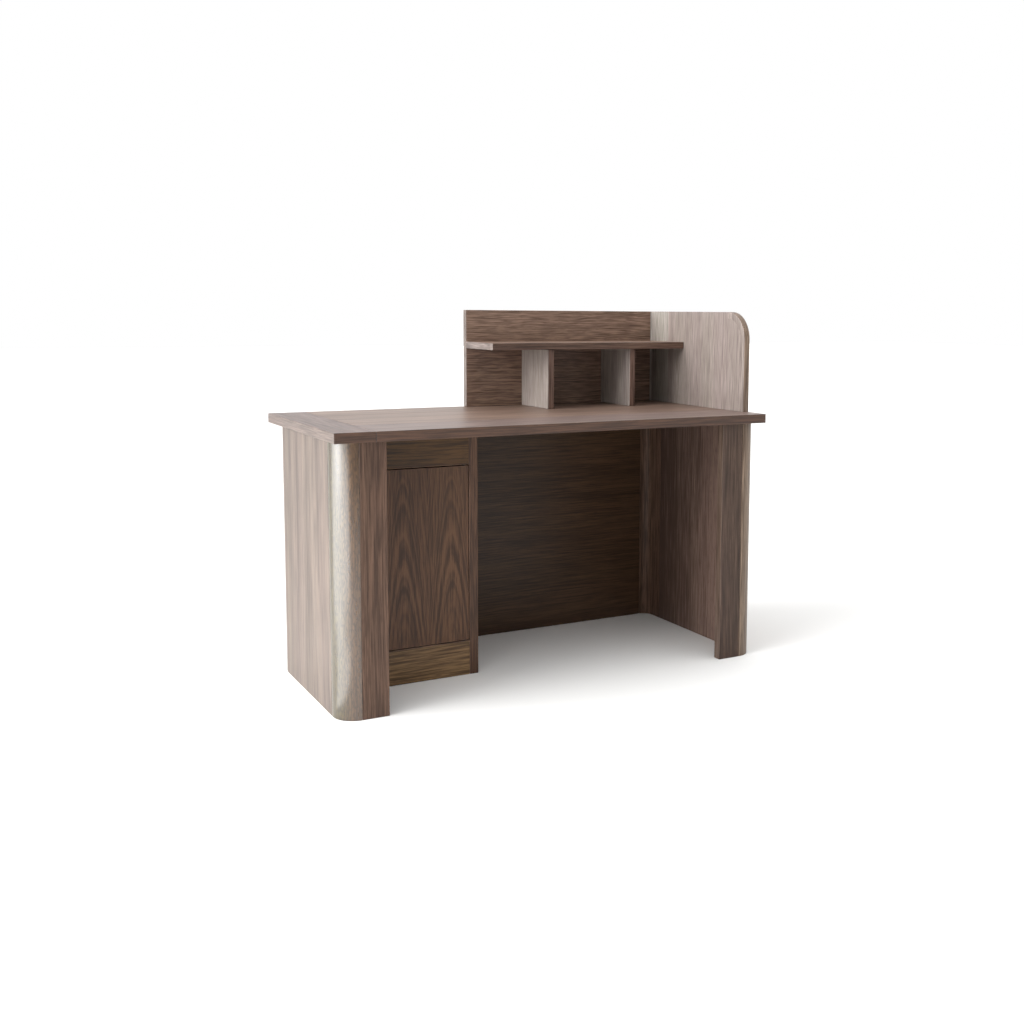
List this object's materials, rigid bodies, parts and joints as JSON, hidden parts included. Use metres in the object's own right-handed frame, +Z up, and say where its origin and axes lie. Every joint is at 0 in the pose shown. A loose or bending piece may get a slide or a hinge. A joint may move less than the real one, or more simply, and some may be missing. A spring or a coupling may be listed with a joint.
{
  "type": "reception desk",
  "caption": "Walnut-veneered reception desk: rounded carcass, door cabinet beside a kneehole, and a low L-shaped screen that holds a divided shelf.",
  "frame": {"origin": "on the floor, under the middle of the work surface", "axes": "+X to the right of the person who sits at it, +Y towards the visitor's side, +Z up"},
  "size_m": [1.336, 0.646, 1.057],
  "materials": {
    "walnut_field": "satin lacquered veneer, grain along the desk",
    "walnut_border": "satin lacquered veneer, greyer than the field",
    "walnut_upright": "satin lacquered veneer, upright grain",
    "walnut_rail": "satin lacquered veneer, level grain, more golden",
    "walnut_screen": "satin lacquered veneer, level grain",
    "beech": "plain fluted dowel",
    "plywood": "sawn",
    "zinc_steel": "zinc plated",
    "brass": "turned",
    "grey_plastic": "moulded"
  },
  "bodies": {
    "desk": {"desktop_field": "walnut_field", "desktop_left_border": "walnut_border", "desktop_front_border": "walnut_border", "left_border_tongue": "plywood", "front_border_tongue": "plywood", "left_front_post": "walnut_upright", "left_front_stile": "walnut_upright", "left_side_panel": "walnut_upright", "rear_left_corner": "walnut_upright", "modesty_panel": "walnut_screen", "rear_right_corner": "walnut_upright", "right_side_panel": "walnut_upright", "right_front_post": "walnut_upright", "right_front_stile": "walnut_upright", "cabinet_side": "walnut_upright", "cabinet_left_jamb": "walnut_upright", "cabinet_bottom_rail": "walnut_rail", "cabinet_top_rail": "walnut_rail", "cabinet_floor": "walnut_upright", "cabinet_shelf": "walnut_upright", "shelf_pin_1": "zinc_steel", "shelf_pin_2": "zinc_steel", "shelf_pin_3": "zinc_steel", "shelf_pin_4": "zinc_steel", "lower_pivot_pin": "zinc_steel", "upper_pivot_pin": "zinc_steel", "latch_body": "grey_plastic", "latch_screw_1": "zinc_steel", "latch_screw_2": "zinc_steel", "screen_back_panel": "walnut_screen", "screen_corner_post": "walnut_upright", "screen_side_panel": "walnut_upright", "screen_side_lipping": "walnut_upright", "hutch_shelf": "walnut_screen", "hutch_shelf_lipping": "walnut_upright", "hutch_divider_left": "walnut_upright", "hutch_divider_left_lipping": "walnut_upright", "hutch_divider_right": "walnut_upright", "hutch_divider_right_lipping": "walnut_upright", "screen_dowel_1": "beech", "screen_dowel_2": "beech", "screen_dowel_3": "beech", "screen_dowel_4": "beech", "screen_dowel_5": "beech", "screen_dowel_6": "beech", "screen_dowel_7": "beech", "shelf_dowel_1": "beech", "shelf_dowel_2": "beech", "top_bracket_1": "zinc_steel", "top_bracket_2": "zinc_steel", "top_bracket_3": "zinc_steel", "top_bracket_4": "zinc_steel", "top_bracket_5": "zinc_steel"},
    "door": {"cabinet_door": "walnut_upright", "lower_pivot_bush": "brass", "upper_pivot_bush": "brass"},
    "plunger": {"latch_plunger": "grey_plastic"}
  },
  "joints": [
    {"name": "door_swing", "type": "hinge", "parent": "desk", "child": "door", "pos_m": [-0.2145, -0.065, 0.359], "axis": [0, 0, 1], "range_deg": [0, 110]},
    {"name": "latch_push", "type": "slide", "parent": "desk", "child": "plunger", "axis": [0, 1, 0], "range_m": [0, 0.004], "stiffness_N_per_m": 500, "springref_m": -0.006}
  ]
}
